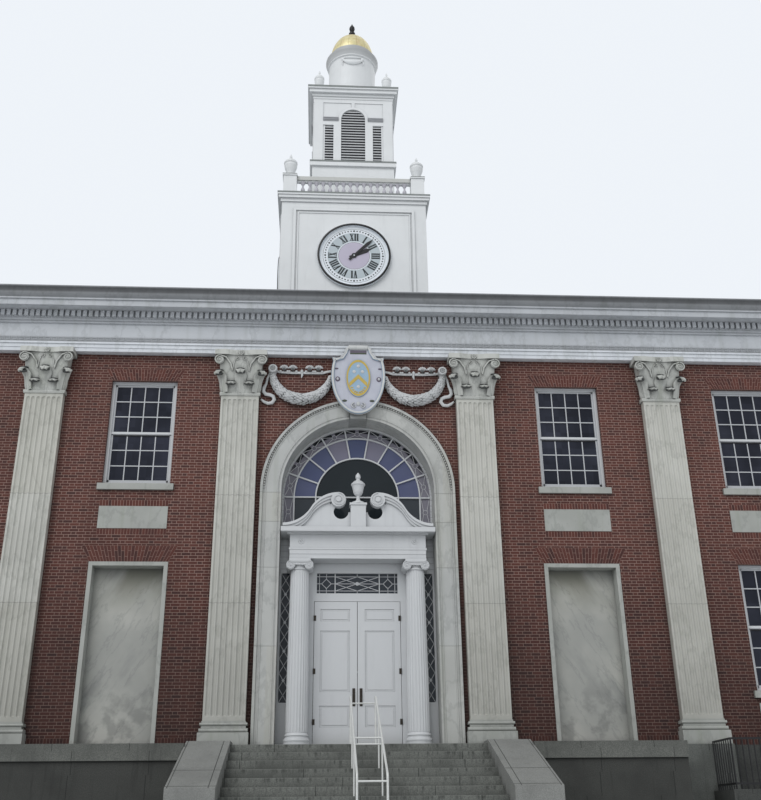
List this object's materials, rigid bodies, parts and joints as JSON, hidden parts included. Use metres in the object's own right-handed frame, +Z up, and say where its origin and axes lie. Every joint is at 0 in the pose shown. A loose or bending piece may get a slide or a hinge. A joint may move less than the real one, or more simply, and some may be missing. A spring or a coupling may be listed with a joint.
{
  "type": "town hall building with a clock tower",
  "caption": "Brick and marble town hall with a giant pilaster front, arched entrance with double doors, and a white tower with clock dials, louvred belfry and gold dome.",
  "frame": {"origin": "on the ground under the foot of the front wall, in line with the brick face and on the middle of the entrance", "axes": "+X to the right along the front as seen from the street, +Y into the building, +Z up"},
  "size_m": [26.35, 22.075, 26.652],
  "materials": {
    "brick": "matte brick with pale mortar",
    "granite": "honed grey granite",
    "marble": "honed off-white marble with grey veins",
    "white_paint": "white painted joinery",
    "glass": "clear glass in front of dark rooms",
    "slate": "dark slate",
    "floor_slab": "plain plastered slab",
    "dial": "white enamelled dial with dark numerals",
    "black_metal": "black painted metal",
    "grey_metal": "grey painted metal rails",
    "gold": "weathered gold leaf",
    "louvre_paint": "white painted louvres",
    "arms": "painted carved stone"
  },
  "bodies": {
    "building": {"architrave_and_frieze": "marble", "areaway_kerbs": "granite", "areaway_railings": "black_metal", "back_wall": "brick", "base_walls": "granite", "belfry_cornice": "white_paint", "belfry_louvres": "louvre_paint", "belfry_pedestal": "white_paint", "belfry_walls": "white_paint", "cartouche": "arms", "cheek_walls": "granite", "clock_dials": "dial", "clock_stage": "white_paint", "clock_stage_cornice": "white_paint", "dentil_band": "marble", "dome": "gold", "drum": "white_paint", "entrance_arch": "marble", "entrance_columns": "white_paint", "entrance_entablature": "white_paint", "entrance_glass": "glass", "entrance_landing": "granite", "entrance_screen": "white_paint", "fanlight_bars": "white_paint", "festoons": "marble", "finial": "black_metal", "front_steps": "granite", "front_wall_left": "brick", "front_wall_right": "brick", "ground_floor": "floor_slab", "hipped_roof": "slate", "left_wall": "brick", "main_cornice": "marble", "marble_slabs": "marble", "niche_frames": "marble", "niche_slabs": "marble", "other_clock_hands": "black_metal", "pediment_urn": "white_paint", "pilaster_bases": "marble", "pilaster_capitals": "marble", "pilaster_pedestals": "granite", "pilaster_shafts": "marble", "right_wall": "brick", "roof_deck": "floor_slab", "stair_handrails": "grey_metal", "swan_neck_pediment": "white_paint", "terraces": "granite", "tower_balustrade": "white_paint", "tower_urns": "white_paint", "upper_floor": "floor_slab", "wall_over_arch": "brick", "window_frames": "white_paint", "window_glass": "glass", "window_sills": "marble"},
    "door_leaf_right": {"door_right": "white_paint"},
    "door_leaf_left": {"door_left": "white_paint"},
    "minute_hand": {"front_minute_hand": "black_metal"},
    "hour_hand": {"front_hour_hand": "black_metal"}
  },
  "joints": [
    {"name": "right_door_hinge", "type": "hinge", "parent": "building", "child": "door_leaf_right", "pos_m": [0.981, 0.461, 3.536], "axis": [0, 0, 1], "range_deg": [0, 90]},
    {"name": "left_door_hinge", "type": "hinge", "parent": "building", "child": "door_leaf_left", "pos_m": [-0.981, 0.461, 3.536], "axis": [0, 0, -1], "range_deg": [0, 90]},
    {"name": "minute_hand_turn", "type": "hinge", "parent": "building", "child": "minute_hand", "pos_m": [0, 2.67, 15.711], "axis": [0, 1, 0], "continuous": true},
    {"name": "hour_hand_turn", "type": "hinge", "parent": "building", "child": "hour_hand", "pos_m": [0, 2.67, 15.711], "axis": [0, 1, 0], "continuous": true}
  ],
  "couplings": [
    {"joint": "hour_hand_turn", "follows": "minute_hand_turn", "ratio": 0.083333}
  ]
}
